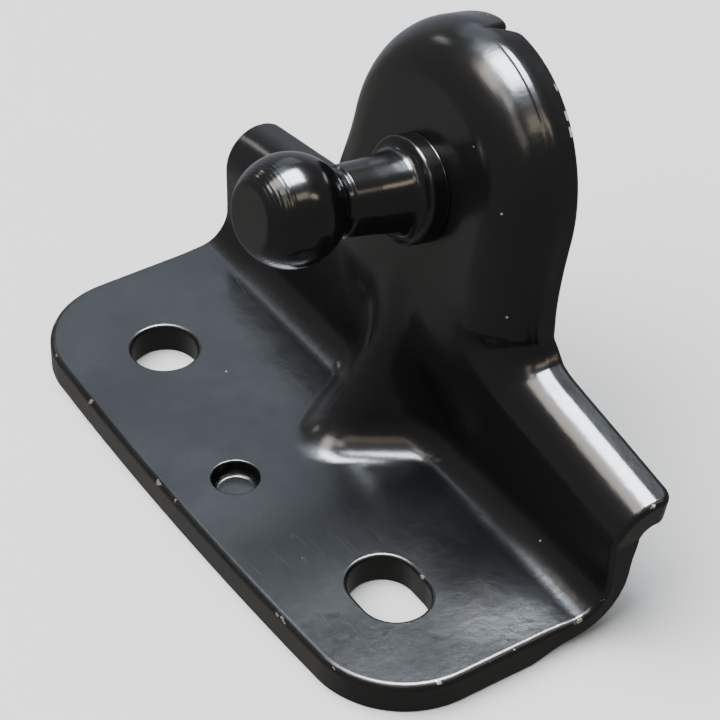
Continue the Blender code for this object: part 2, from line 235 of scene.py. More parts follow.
# Lit panels a metre from LIT_POINT, as (name, direction, width, height, radiance, colour)
LIT_POINT = Vector((0.0, 0.005, 0.015))
KEY_PANEL = ("key", (-0.3, -0.4, 1.0), 1.2, 1.2, 6.0, (1.0, 1.0, 1.0))
SHINE_PANELS = (
    ("window", (-0.17, 0.2, 0.965), 0.5, 0.56, 95.0, (0.82, 0.9, 1.0)),
    ("blind", (-0.25, -0.31, 0.92), 0.36, 0.4, 12.0, (1.0, 0.91, 0.82)),
    ("lamp", (0.1, -0.33, 0.94), 0.26, 0.2, 8.0, (0.97, 0.98, 1.0)),
    ("warm_lamp", (0.45, -0.38, 0.81), 0.4, 0.2, 2.6, (1.0, 0.85, 0.7)),
    ("warm_wall", (0.52, 0.14, 0.84), 0.2, 0.46, 4.6, (1.0, 0.86, 0.66)),
    ("warm_corner", (0.55, 0.5, 0.67), 0.13, 0.25, 7.0, (1.0, 0.82, 0.62)),
    ("sky", (-0.73, 0.36, 0.6), 0.36, 0.6, 1.15, (0.68, 0.82, 1.0)),
    ("glint", (-0.87, -0.17, 0.46), 0.12, 0.09, 7.0, (1.0, 0.98, 0.92)),
    ("low_sky", (-0.56, 0.06, 0.82), 0.2, 0.34, 2.4, (0.7, 0.85, 1.0)),
)

CAMERA_PLACE = (0.158019, -0.098194, 0.172106)
CAMERA_DEGREES = (49.8338, -0.9608, 56.5648)
CAMERA_LENS = 139.006
CAMERA_SENSOR = 36.0
CAMERA_CLIP = 0.01

# Sampling
FOLD_Y = 1.9 * MM
FOLD_Z = 17.0 * MM
FOLD_SPAN = 24.0 * MM
PITCH = 0.5 * MM
ROW_PITCH = PITCH * math.sqrt(0.75)
GRID_START_X = -32.0 * MM
GRID_WIDTH = 64.0 * MM
GRID_LENGTH = 58.0 * MM
FLAT_EVERY = 3
FLAT_TURN = 0.004
FLAT_REACH = 1.2 * MM
EDGE_CLEARANCE = 0.25 * MM
RIM_STEPS = (26, 14, 22)
WING_PITCH = 0.8 * MM
TIP_STEPS = 8
STEP_STATIONS = 34
STEP_REACH = (-0.9 * MM, 1.7 * MM)
STRIP_ROWS = (14, 12, 6)
CORNER_STEPS = 26
HOLE_STEPS = 64
HEM_FRONT_STEPS = 5
HEM_BACK_STEPS = 3
HEM_WALL_ROWS = (0.3, 0.6, 0.85)
DIMPLE_MOUTH_STEPS = 4
DIMPLE_FILLET_STEPS = 7
DIMPLE_FLOOR_RINGS = (0.66, 0.33)
BISECTIONS = 40
SLOPE_STEP = 0.01 * MM
JOIN_DISTANCE = 1e-8
TURN_STEPS = 128
BALL_STEPS = 150
FILLET_TURN = 0.2
FILLET_STEPS = 4
UP = np.array((0.0, 0.0, 1.0))


def smoothstep(low, high, value):
    share = np.clip((value - low) / (high - low), 0.0, 1.0)
    return share * share * (3.0 - 2.0 * share)


def unit(vectors):
    return vectors / np.linalg.norm(vectors, axis=-1, keepdims=True)


# The pressed face, as in the CAD part


def filleted(first, second, radius):
    """Distance to two forms joined with a fillet of this radius."""
    corner = np.hypot(np.maximum(radius - first, 0.0), np.maximum(radius - second, 0.0))
    return np.maximum(radius, np.minimum(first, second)) - corner


def rounded(first, second, radius):
    """Distance to what two forms share, with its edge rounded to this radius."""
    corner = np.hypot(np.maximum(radius + first, 0.0), np.maximum(radius + second, 0.0))
    return np.minimum(-radius, np.maximum(first, second)) + corner


def upright_y(x, z):
    """Front face of the wings and of the ear, as y for each x and z."""
    ear = EAR_Y + (z - EAR_Z) * math.tan(EAR_LEAN)
    beside = smoothstep(*EAR_BLEND_X, np.abs(x)) * (1.0 - smoothstep(*EAR_BLEND_Z, z))
    share = smoothstep(*EAR_FADE_Z, z) * (1.0 - beside)
    return WING_Y + (ear - WING_Y) * share


def dart_side():
    """Outward normal of the dart's side at +X, whose mirror image is its other side."""
    nose = Vector((0.0, DART_NOSE_Y, SHEET))
    apex = Vector((0.0, DART_APEX_Y, DART_APEX_Z))
    foot = Vector((DART_HALF_WIDTH, DART_SIDE_Y, SHEET))
    return (foot - nose).cross(apex - nose).normalized()


def clearance(points):
    """Distance in front of the pressed face, negative inside the metal."""
    x, y, z = points[..., 0], points[..., 1], points[..., 2]
    normal = dart_side()
    across = normal.y * (y - DART_NOSE_Y) + normal.z * (z - SHEET)
    dart = rounded(normal.x * x + across, -normal.x * x + across, DART_RIDGE_RADIUS)
    bend = filleted(z - SHEET, upright_y(x, z) - y, BEND_RADIUS)
    return filleted(bend, dart, DART_FILLET)


def pressed(x, run):
    """Points of the pressed face. The run goes over the plate, round the bend and up the ear."""
    angle = np.clip((run - FOLD_Y) / FOLD_SPAN, 0.0, 1.0) * (math.pi / 2)
    start = np.stack([x, np.minimum(run, FOLD_Y), np.full_like(x, FOLD_Z)], axis=-1)
    start[..., 2] += np.maximum(run - FOLD_Y - FOLD_SPAN, 0.0)
    aim = np.stack([np.zeros_like(x), np.sin(angle), -np.cos(angle)], axis=-1)
    near = np.zeros_like(x)
    far = np.full_like(x, 2 * FOLD_SPAN)
    for _ in range(BISECTIONS):
        middle = (near + far) / 2
        free = clearance(start + aim * middle[..., None]) > 0
        near = np.where(free, middle, near)
        far = np.where(free, far, middle)
    return start + aim * near[..., None]


def facing(points):
    """Unit normals of the pressed face at these points, out of the metal."""
    steps = SLOPE_STEP * np.eye(3)
    slopes = [clearance(points + step) - clearance(points - step) for step in steps]
    return unit(np.stack(slopes, axis=-1))


def run_at(x, z):
    """The run that reaches height z on the upright at this x."""
    y = upright_y(x, z)
    if z >= FOLD_Z:
        return FOLD_Y + FOLD_SPAN + z - FOLD_Z
    return FOLD_Y + FOLD_SPAN * math.atan2(y - FOLD_Y, FOLD_Z - z) / (math.pi / 2)


def arc(centre, radius, first, last, count):
    angles = [first + (last - first) * i / count for i in range(count + 1)]
    return [(centre[0] + radius * math.cos(a), centre[1] + radius * math.sin(a)) for a in angles]


def neck_turn():
    """How far short of a quarter turn the neck's oval fillet meets the wing's slope."""
    across, up = NECK_FILLET
    return math.atan(WING_SLOPE * across / up)


def wing_span():
    """(start, end) of the rim's wing stretch, as x."""
    fillet_x = EAR_CORE_RADIUS + EAR_CORE_FLARE + NECK_FILLET[0]
    return fillet_x - NECK_FILLET[0] * math.sin(neck_turn()), HALF_WIDTH + END_BULGE


def rim_path(station):
    """Where the rim's roll begins, as (x, z): crown, neck, fillet and wing, one station each."""
    if station < 0.0:
        x, z = rim_path(-station)
        neck = math.sin(math.pi / 2 * (min(max(-station, 1.0), 3.0) - 1.0)) ** 2
        return -x - NECK_WIDER * neck, z + LEFT_RISE * float(smoothstep(*LEFT_RISE_STATIONS, -station))
    lean = math.cos(EAR_LEAN)
    start_x, end_x = wing_span()
    across, up = NECK_FILLET
    fillet_x = EAR_CORE_RADIUS + EAR_CORE_FLARE + across
    wing_z = WING_END_Z + WING_SLOPE * (end_x - fillet_x)
    fillet_z = wing_z + math.hypot(up, WING_SLOPE * across)
    top_z = EAR_Z + EAR_CORE_RISE * lean
    if station <= 1.0:
        angle = math.pi / 2 * (1.0 - station)
        return EAR_CORE_RADIUS * math.cos(angle), top_z + EAR_CORE_RADIUS * lean * math.sin(angle)
    if station <= 2.0:
        share = station - 1.0
        return EAR_CORE_RADIUS + EAR_CORE_FLARE * share**2, top_z + (fillet_z - top_z) * share
    if station <= 3.0:
        angle = math.pi + (math.pi / 2 - neck_turn()) * (station - 2.0)
        return fillet_x + across * math.cos(angle), fillet_z + up * math.sin(angle)
    x = start_x + (end_x - start_x) * (station - 3.0)
    return x, WING_END_Z + WING_SLOPE * (end_x - x)


def rim_stations():
    """Stations along the rim, closer together round the flange tips and at the trim step."""
    half = []
    for first, steps in enumerate(RIM_STEPS):
        half += [first + i / steps for i in range(steps)]
    start_x, end_x = wing_span()
    tip_x = end_x - EDGE_ROUND - RIM_TIP_RADIUS
    wing = list(np.linspace(start_x, tip_x, round((tip_x - start_x) / WING_PITCH) + 1))
    wing += [x for x, _ in arc((tip_x, 0.0), RIM_TIP_RADIUS, math.pi / 2, 0.0, TIP_STEPS)[1:]]
    half += [3.0 + (x - start_x) / (end_x - start_x) for x in wing]
    step_x = RIM_STEP_X + np.linspace(*STEP_REACH, STEP_STATIONS)
    near_step = list(np.arcsin(step_x / EAR_CORE_RADIUS) / (math.pi / 2))
    gap = near_step[1] - near_step[0]
    mirrored = [-station for station in half[:0:-1]]
    plain = [s for s in mirrored + half if not near_step[0] - gap < s < near_step[-1] + gap]
    return np.array(sorted(plain + near_step))


def rim_base(stations):
    """Points of the pressed face where the roll begins."""
    path = [rim_path(station) for station in stations]
    return pressed(np.array([x for x, _ in path]), np.array([run_at(x, z) for x, z in path]))


def rim_facing(stations):
    """Unit normals that the roll turns away from: it ends square to the ear or to the wing."""
    lean = EAR_LEAN * (1.0 - smoothstep(*RIM_LEAN_STATIONS, np.abs(stations)))
    return np.stack([np.zeros_like(lean), -np.cos(lean), np.sin(lean)], axis=-1)


def roll_radius(x):
    return EAR_ROLL_RADIUS + (WING_ROLL_RADIUS - EAR_ROLL_RADIUS) * smoothstep(*ROLL_BLEND_X, np.abs(x))


def rim_flange(x):
    """Length of the rim's straight part. Two trim strokes meet in a nick, and one stands proud."""
    beyond = x - RIM_STEP_X
    first = RIM_STEP * (1.0 - smoothstep(0.0, RIM_STEP_FADE, -beyond))
    first = first - RIM_STEP_ROUND * np.exp(np.minimum(beyond, 0.0) / RIM_STEP_ROUND)
    rest = RIM_REST * (1.0 - smoothstep(0.0, RIM_REST_FADE, beyond))
    second = (RIM_NICK + rest) * smoothstep(0.0, RIM_NICK_RUN, beyond) - RIM_NICK
    trim = first + (second - first) * smoothstep(-RIM_STEP_SLOPE, RIM_STEP_SLOPE, beyond)
    return RIM_FLANGE + trim + np.where(x < 0.0, *WING_FLANGE) * smoothstep(*ROLL_BLEND_X, np.abs(x))


def roll_depth(x):
    """How far the sheet goes from where its roll begins to its trimmed edge, short of the edge's round."""
    tip_x = HALF_WIDTH + END_BULGE - EDGE_ROUND - RIM_TIP_RADIUS
    beyond = np.clip(np.abs(x) - tip_x, 0.0, RIM_TIP_RADIUS)
    tip = RIM_TIP_RADIUS - np.sqrt(RIM_TIP_RADIUS**2 - beyond**2)
    return roll_radius(x) * math.pi / 2 + rim_flange(x) - EDGE_ROUND - tip


def line_depth(stations, x):
    """How far the die line lies beyond where the roll begins."""
    low, high = LINE_TURN
    return roll_radius(x) * (low + (high - low) * smoothstep(*LINE_STATIONS, np.abs(stations)))


def die_line(stations, x, depth):
    """Height of the rim's outer face over the plain roll, from the die line on."""
    wing = smoothstep(*LINE_STATIONS, np.abs(stations))
    ear = (1.0 - wing) * smoothstep(*LIP_START_X, x)
    beyond = depth - line_depth(stations, x)
    score = -SCORE_DEPTH * np.exp(-((beyond / SCORE_WIDTH) ** 2))
    lip = LIP_HEIGHT * smoothstep(0.0, LIP_RISE, beyond) * (1.0 - smoothstep(LIP_RISE, LIP_FALL, beyond))
    droop = -FLANGE_DROOP * (beyond + np.hypot(beyond, CREASE_ROUND)) / 2
    return ear * (score + lip) + wing * droop


def strip_depths(stations, x):
    """Depths of the rim's rows of points, closest together beside the die line."""
    total = roll_depth(x)
    line = np.minimum(line_depth(stations, x), total - LINE_EDGE_ROOM)
    marks = [np.zeros_like(x), line - LINE_BAND[0], line + LINE_BAND[1], total]
    rows = []
    for (low, high), steps in zip(zip(marks, marks[1:]), STRIP_ROWS):
        rows += [low + (high - low) * i / steps for i in range(1, steps + 1)]
    return rows


def rolled(stations, depth, lined=True):
    """Points of the rolled rim at these depths beyond where the roll begins."""
    base = rim_base(stations)
    along = rim_base(stations + RIM_NUDGE) - rim_base(stations - RIM_NUDGE)
    start = facing(base)
    end = rim_facing(stations)
    radii = roll_radius(base[:, 0])
    angle = np.minimum(depth / radii, math.pi / 2)[:, None]
    radii = radii[:, None]
    normals = unit(start + (end - start) * smoothstep(0.0, math.pi / 2, angle))
    outward = unit(np.cross(normals, along))
    turned = radii * (outward * np.sin(angle) - normals * (1.0 - np.cos(angle)))
    plain = base + turned - end * (depth[:, None] - angle * radii)
    if not lined:
        return plain
    outer = normals * np.cos(angle) + outward * np.sin(angle)
    return plain + outer * die_line(stations, base[:, 0], depth)[:, None]


def rolled_facing(stations, depth, lined=True):
    """Unit normals of the rolled rim, out of the metal."""
    along = rolled(stations + RIM_NUDGE, depth, lined) - rolled(stations - RIM_NUDGE, depth, lined)
    down = rolled(stations, depth + SLOPE_STEP, lined) - rolled(stations, depth - SLOPE_STEP, lined)
    return unit(np.cross(along, down))


# Meshes


class Skin:
    """Points of one piece with their normals and marks, and the faces between them."""

    def __init__(self):
        self.points = np.zeros((0, 3))
        self.normals = np.zeros((0, 3))
        self.corner = np.zeros(0)
        self.cut = np.zeros(0)
        self.depth = np.zeros(0)
        self.faces = []

    def add(self, points, normals, corner=0.0, cut=0.0, depth=0.0):
        """Adds points and returns their numbers. Corner marks an outer edge, and cut a sheared wall."""
        first = len(self.points)
        count = len(points)
        self.points = np.concatenate([self.points, points])
        self.normals = np.concatenate([self.normals, normals])
        self.corner = np.concatenate([self.corner, np.full(count, corner)])
        self.cut = np.concatenate([self.cut, np.full(count, cut)])
        self.depth = np.concatenate([self.depth, np.full(count, depth)])
        return np.arange(first, first + count)

    def bridge(self, above, below, closed=True):
        """Quads between two rows of as many points."""
        count = len(above) if closed else len(above) - 1
        for i in range(count):
            j = (i + 1) % len(above)
            self.faces.append((above[i], above[j], below[j], below[i]))

    def build(self, name):
        data = bpy.data.meshes.new(name)
        data.from_pydata(self.points.tolist(), [], [tuple(int(i) for i in face) for face in self.faces])
        mesh = bmesh.new()
        mesh.from_mesh(data)
        bmesh.ops.recalc_face_normals(mesh, faces=mesh.faces)
        for face in mesh.faces:
            face.smooth = True
        mesh.to_mesh(data)
        mesh.free()
        for label, values in (("corner", self.corner), ("cut", self.cut)):
            mark = data.attributes.new(label, "FLOAT", "POINT")
            mark.data.foreach_set("value", values.astype(np.float32))
        data.normals_split_custom_set_from_vertices(self.normals.tolist())
        made = bpy.data.objects.new(name, data)
        bpy.context.scene.collection.objects.link(made)
        return made


def front_y(x):
    return FRONT_Y + FRONT_BOW * (x / BOW_SPAN) ** 2


def plate_edge():
    """Outline of the plate from the end at +X round the front to the end at -X, as (x, run)."""
    centre_x = HALF_WIDTH - CORNER_RADIUS
    centre = (centre_x, front_y(centre_x) + CORNER_RADIUS)
    corner = arc(centre, CORNER_RADIUS - EDGE_ROUND, 0.0, -math.pi / 2, CORNER_STEPS)
    steps = round(2 * centre_x / MM)
    front = [(x, front_y(x) + EDGE_ROUND) for x in np.linspace(centre_x, -centre_x, steps + 1)[1:-1]]
    return corner + front + [(-x, y) for x, y in reversed(corner)]


def blank_outline(stations):
    """Outline of the sheet short of its roll and of its edge's round, as (x, run)."""
    rim = [(x, run_at(x, z)) for x, z in (rim_path(station) for station in stations)]
    edge = plate_edge()
    low, high = edge[0][1], rim[-1][1]
    runs = np.linspace(low, high, round((high - low) / PITCH) + 1)[1:-1]
    bulge = END_BULGE * smoothstep(*END_BULGE_RUN, runs)
    side = [(HALF_WIDTH - EDGE_ROUND + b, run) for b, run in zip(bulge, runs)]
    return rim + side[::-1] + edge + [(-x, run) for x, run in side]


def slot_outline(x, travel, radius):
    """Outline of a slot of this travel, or of a round hole where it is 0, as (x, run)."""
    half = HOLE_STEPS // 2
    right = arc((x + travel / 2, 0.0), radius, -math.pi / 2, math.pi / 2, half)
    left = arc((x - travel / 2, 0.0), radius, math.pi / 2, 1.5 * math.pi, half)
    return right + left if travel else right + left[1:-1]


def rivet_outline():
    """Outline of the rivet's hole in the ear, as (x, run)."""
    ring = arc((0.0, 0.0), RIVET_HOLE_RADIUS + SMALL_ROUND, 0.0, 2 * math.pi, HOLE_STEPS)[:-1]
    middle = FOLD_Y + FOLD_SPAN + EAR_Z - FOLD_Z
    return [(x, middle + z * math.cos(EAR_LEAN)) for x, z in ring]


def loop_edges(loops):
    """Every loop's edges, as two arrays of points."""
    starts = np.concatenate([np.array(loop) for loop in loops])
    ends = np.concatenate([np.roll(np.array(loop), -1, axis=0) for loop in loops])
    return starts, ends


def inside(loops, points):
    """Which points lie within the first loop and outside the others."""
    odd = np.zeros(len(points), bool)
    x, y = points[:, 0], points[:, 1]
    for (ax, ay), (bx, by) in zip(*loop_edges(loops)):
        if ay != by:
            odd ^= ((ay > y) != (by > y)) & (x < ax + (bx - ax) * (y - ay) / (by - ay))
    return odd


def clear_of(loops, points, distance):
    """Which points are at least this far from every loop."""
    near = np.zeros(len(points), bool)
    for start, end in zip(*loop_edges(loops)):
        along = end - start
        share = np.clip(((points - start) @ along) / (along @ along), 0.0, 1.0)
        near |= np.linalg.norm(start + share[:, None] * along - points, axis=1) < distance
    return ~near


def grid_points():
    """Rows of staggered points, thinned out where the pressed face is flat."""
    rows = int(GRID_LENGTH / ROW_PITCH)
    columns = int(GRID_WIDTH / PITCH)
    j, i = np.meshgrid(np.arange(rows), np.arange(columns), indexing="ij")
    thin_row = j // FLAT_EVERY
    x = GRID_START_X + PITCH * (i + 0.5 * (j % 2))
    run = FRONT_Y + ROW_PITCH * j
    x, run, i, j, thin_row = (a.ravel() for a in (x, run, i, j, thin_row))
    normals = facing(pressed(x, run))
    turn = np.zeros(len(x))
    for dx, dy in ((1, 0), (-1, 0), (0, 1), (0, -1)):
        beside = facing(pressed(x + dx * FLAT_REACH, run + dy * FLAT_REACH))
        turn = np.maximum(turn, np.linalg.norm(beside - normals, axis=1))
    thin = (j % FLAT_EVERY == 0) & ((i + thin_row % 2) % FLAT_EVERY == 0)
    kept = (turn > FLAT_TURN) | thin
    return np.stack([x, run], axis=1)[kept]


def filled(loops, inner):
    """Triangles that fill the first loop outside the others: (places of each loop, points, faces)."""
    flat = [tuple(p) for loop in loops for p in loop]
    edges = []
    starts = np.cumsum([0] + [len(loop) for loop in loops])
    for first, loop in zip(starts, loops):
        edges += [(int(first) + i, int(first) + (i + 1) % len(loop)) for i in range(len(loop))]
    given = [Vector(p) for p in flat + [tuple(p) for p in inner]]
    found, _, faces, sources, *_ = delaunay_2d_cdt(given, edges, [], 0, JOIN_DISTANCE)
    place = {source: i for i, group in enumerate(sources) for source in group}
    points = np.array([tuple(p) for p in found])
    faces = np.array(faces)
    faces = faces[inside(loops, points[faces].mean(axis=1))]
    places = [[place[int(first) + i] for i in range(len(loop))] for first, loop in zip(starts, loops)]
    return places, points, faces


def loop_outward(skin, loop, place, direction):
    """Unit directions out of the sheet's edge all along a loop, given roughly at one place of it."""
    points = skin.points[loop]
    along = np.roll(points, -1, axis=0) - np.roll(points, 1, axis=0)
    outward = unit(np.cross(along, skin.normals[loop]))
    return outward * np.sign(outward[place] @ direction)


def hem(skin, front, back, outward, radius):
    """The sheet's cut edge between a loop in front and the same loop behind."""
    points = skin.points[front]
    through = skin.points[back] - points
    sheet = np.linalg.norm(through, axis=1, keepdims=True)
    normals = -through / sheet
    above = front
    for step in range(1, HEM_FRONT_STEPS + 1):
        angle = math.pi / 2 * step / HEM_FRONT_STEPS
        place = points + radius * (outward * math.sin(angle) - normals * (1.0 - math.cos(angle)))
        turned = outward * math.sin(angle) + normals * math.cos(angle)
        sunk = radius * (1.0 - math.cos(angle)) / SHEET
        row = skin.add(place, turned, math.sin(2 * angle), step / HEM_FRONT_STEPS, sunk)
        skin.bridge(above, row)
        above = row
    for share in HEM_WALL_ROWS:
        place = points + radius * outward - sheet * share * normals
        row = skin.add(place, outward, cut=1.0, depth=share)
        skin.bridge(above, row)
        above = row
    for step in range(HEM_BACK_STEPS + 1):
        angle = math.pi / 2 * step / HEM_BACK_STEPS
        sink = sheet - EDGE_BACK * (1.0 - math.sin(angle))
        reach = radius - EDGE_BACK * (1.0 - math.cos(angle))
        turned = outward * math.cos(angle) - normals * math.sin(angle)
        place = points + reach * outward - sink * normals
        row = skin.add(place, turned, BACK_CORNER_WEAR, 1.0, 1.0)
        skin.bridge(above, row)
        above = row
    skin.bridge(above, back)


def dimple(skin, front, back):
    """A blind pocket with a rounded mouth and a flat floor in a fillet, in place of a loop."""
    profile = []
    for angle in np.linspace(0.0, math.pi / 2, DIMPLE_MOUTH_STEPS + 1)[1:]:
        out, rise = math.sin(angle), math.cos(angle)
        radius = DIMPLE_RADIUS + SMALL_ROUND * (1.0 - out)
        profile.append((radius, -SMALL_ROUND * (1.0 - rise), -out, rise))
    for angle in np.linspace(0.0, math.pi / 2, DIMPLE_FILLET_STEPS + 1):
        out, rise = math.cos(angle), math.sin(angle)
        radius = DIMPLE_RADIUS - DIMPLE_FILLET * (1.0 - out)
        profile.append((radius, DIMPLE_FILLET * (1.0 - rise) - DIMPLE_DEPTH, -out, rise))
    for share in DIMPLE_FLOOR_RINGS:
        profile.append((share * (DIMPLE_RADIUS - DIMPLE_FILLET), -DIMPLE_DEPTH, 0.0, 1.0))
    middle = np.array((0.0, DIMPLE_Y, SHEET))
    ring = unit((skin.points[front] - middle) * (1.0, 1.0, 0.0))
    above = front
    for radius, height, out, rise in profile:
        row = skin.add(middle + radius * ring + height * UP, out * ring + rise * UP)
        skin.bridge(above, row)
        above = row
    centre = skin.add([middle - DIMPLE_DEPTH * UP], [UP])[0]
    skin.faces += [(a, b, centre) for a, b in zip(above, np.roll(above, -1))]
    skin.faces.append(tuple(back))


def roll_rim(skin, stations, front, back):
    """Rolls the rim back from two rows of points, and returns its rows in front and behind."""
    rows_front, rows_back = [front], [back]
    for depth in strip_depths(stations, np.array([rim_path(station)[0] for station in stations])):
        rows_front.append(skin.add(rolled(stations, depth), rolled_facing(stations, depth)))
        normals = rolled_facing(stations, depth, lined=False)
        points = rolled(stations, depth, lined=False) - SHEET * normals
        rows_back.append(skin.add(points, -normals, depth=1.0))
        skin.bridge(rows_front[-2], rows_front[-1], closed=False)
        skin.bridge(rows_back[-2], rows_back[-1], closed=False)
    return rows_front, rows_back


def bracket_mesh():
    """The pressing: both faces of the sheet, its rolled rim, its cut edges and its holes."""
    stations = rim_stations()
    loops = [
        blank_outline(stations),
        slot_outline(-HOLE_X, 0.0, HOLE_RADIUS + HOLE_ROUND),
        slot_outline(HOLE_X, SLOT_TRAVEL, HOLE_RADIUS + HOLE_ROUND),
        arc((0.0, DIMPLE_Y), DIMPLE_RADIUS + SMALL_ROUND, 0.0, 2 * math.pi, HOLE_STEPS)[:-1],
        rivet_outline(),
    ]
    inner = grid_points()
    inner = inner[inside(loops, inner)]
    inner = inner[clear_of(loops, inner, EDGE_CLEARANCE)]
    places, runs, faces = filled(loops, inner)
    points = pressed(runs[:, 0], runs[:, 1])
    normals = facing(points)

    skin = Skin()
    front = skin.add(points, normals)
    back = skin.add(points - SHEET * normals, -normals, depth=1.0)
    skin.faces += [tuple(front[face]) for face in faces]
    skin.faces += [tuple(back[face[::-1]]) for face in faces]

    rim, edge = places[0][:len(stations)], places[0][len(stations):]
    outer = []
    for rows, side in zip(roll_rim(skin, stations, front[rim], back[rim]), (front, back)):
        right = [row[-1] for row in rows[-2::-1]]
        left = [row[0] for row in rows[:-1]]
        outer.append(np.array(list(rows[-1]) + right + list(side[edge]) + left))
    foremost = skin.points[outer[0]][:, 1].argmin()
    outward = loop_outward(skin, outer[0], foremost, (0.0, -1.0, 0.0))
    hem(skin, outer[0], outer[1], outward, EDGE_ROUND)
    for loop, radius in ((places[1], HOLE_ROUND), (places[2], HOLE_ROUND), (places[4], SMALL_ROUND)):
        points = skin.points[front[loop]]
        outward = loop_outward(skin, front[loop], 0, points.mean(axis=0) - points[0])
        hem(skin, front[loop], back[loop], outward, radius)
    dimple(skin, front[places[3]], back[places[3]])
    draw_in_ends(skin)
    return skin


def draw_in_ends(skin):
    """The outer side of the bend draws in at its ends, as bent sheet does."""
    x, y, z = skin.points.T
    reach = np.hypot(y - BEND_LINE[0], z - BEND_LINE[1])
    near_bend = 1.0 - smoothstep(*BEND_REACH, reach)
    near_end = smoothstep(HALF_WIDTH - END_SHRINK_REACH, HALF_WIDTH, np.abs(x))
    skin.points[:, 0] -= np.sign(x) * END_SHRINK * skin.depth * near_bend * near_end


def fillet_path(corners):
    """A path of (radius, height, round) corners with each corner rounded to its own radius."""
    path = []
    for i, (x, y, size) in enumerate(corners):
        here = Vector((x, y))
        if size == 0.0 or i in (0, len(corners) - 1):
            path.append((x, y))
            continue
        back = (Vector(corners[i - 1][:2]) - here).normalized()
        ahead = (Vector(corners[i + 1][:2]) - here).normalized()
        half = back.angle(ahead) / 2
        centre = here + (back + ahead).normalized() * size / math.sin(half)
        first = here + back * size / math.tan(half) - centre
        last = here + ahead * size / math.tan(half) - centre
        turn = first.angle_signed(last)
        steps = max(FILLET_STEPS, round(abs(turn) / FILLET_TURN))
        for k in range(steps + 1):
            spoke = first.copy()
            spoke.rotate(Matrix.Rotation(-turn * k / steps, 2))
            path.append(tuple(centre + spoke))
    return path


def stud_path():
    """The stud's outer side from the middle of its flat tip down to the middle of the rivet head."""
    tip = math.acos(TIP_FLAT_RADIUS / BALL_RADIUS)
    flat = BALL_RADIUS * math.sin(tip)
    path = [(0.0, flat)]
    for ring in np.arange(*TIP_RINGS, TIP_RING_PITCH):
        groove = (ring + TIP_RING_WIDTH / 2, flat - TIP_RING_DEPTH)
        path += [(ring, flat), groove, (ring + TIP_RING_WIDTH, flat)]
    path.append((TIP_FLAT_RADIUS - TIP_FLAT_EDGE, flat))
    for angle in np.linspace(tip - TIP_TURN, -BALL_END, BALL_STEPS):
        turn = tip - angle
        wave = (1.0 - math.cos(2 * math.pi * turn / TOOL_MARK_PITCH)) / 2
        radius = BALL_RADIUS - TOOL_MARK_DEPTH * (1.0 - smoothstep(*TOOL_MARK_FADE, turn)) * wave
        path.append((radius * math.cos(angle), radius * math.sin(angle)))
    tail = -(BALL_REACH + SHEET)
    corners = [(*path[-1], 0.0)]
    corners += [(radius * MM, -along * MM, size * MM) for radius, along, size in SHANK_CORNERS]
    corners += [(RIVET_RADIUS, -COLLAR_FACE, 0.0), (RIVET_RADIUS, tail, 0.0)]
    corners += [(radius * MM, tail - along * MM, size * MM) for radius, along, size in RIVET_HEAD_CORNERS]
    return path[:-1] + fillet_path(corners)


def turned_skin(path):
    """A piece turned round Z. Each point's normal leans towards its longer neighbour stretch."""
    points = np.array(path)
    stretch = np.diff(points, axis=0)
    across = np.stack([-stretch[:, 1], stretch[:, 0]], axis=1)
    across = np.concatenate([across[:1], across, across[-1:]])
    normals = unit(across[:-1] + across[1:])
    normals *= np.sign(normals[1, 1])
    angles = np.linspace(0.0, 2 * math.pi, TURN_STEPS, endpoint=False)
    spokes = np.stack([np.cos(angles), np.sin(angles), np.zeros(TURN_STEPS)], axis=1)
    skin = Skin()
    top = skin.add([UP * points[0, 1]], [UP])[0]
    above = None
    for (radius, height), (out, rise) in zip(points[1:-1], normals[1:-1]):
        row = skin.add(spokes * radius + UP * height, spokes * out + UP * rise)
        if above is None:
            skin.faces += [(top, a, b) for a, b in zip(row, np.roll(row, -1))]
        else:
            skin.bridge(above, row)
        above = row
    bottom = skin.add([UP * points[-1, 1]], [-UP])[0]
    skin.faces += [(bottom, b, a) for a, b in zip(above, np.roll(above, -1))]
    return skin


def stud_frame():
    """Places a turned piece's Z on the stud's axis, pointing out of the ear, with the ball's centre at 0."""
    axis = Vector((0.0, -math.cos(EAR_LEAN), math.sin(EAR_LEAN)))
    ball = Vector((0.0, EAR_Y, EAR_Z)) + axis * BALL_REACH
    return Matrix.Translation(ball) @ axis.to_track_quat("Z", "Y").to_matrix().to_4x4()


# Materials


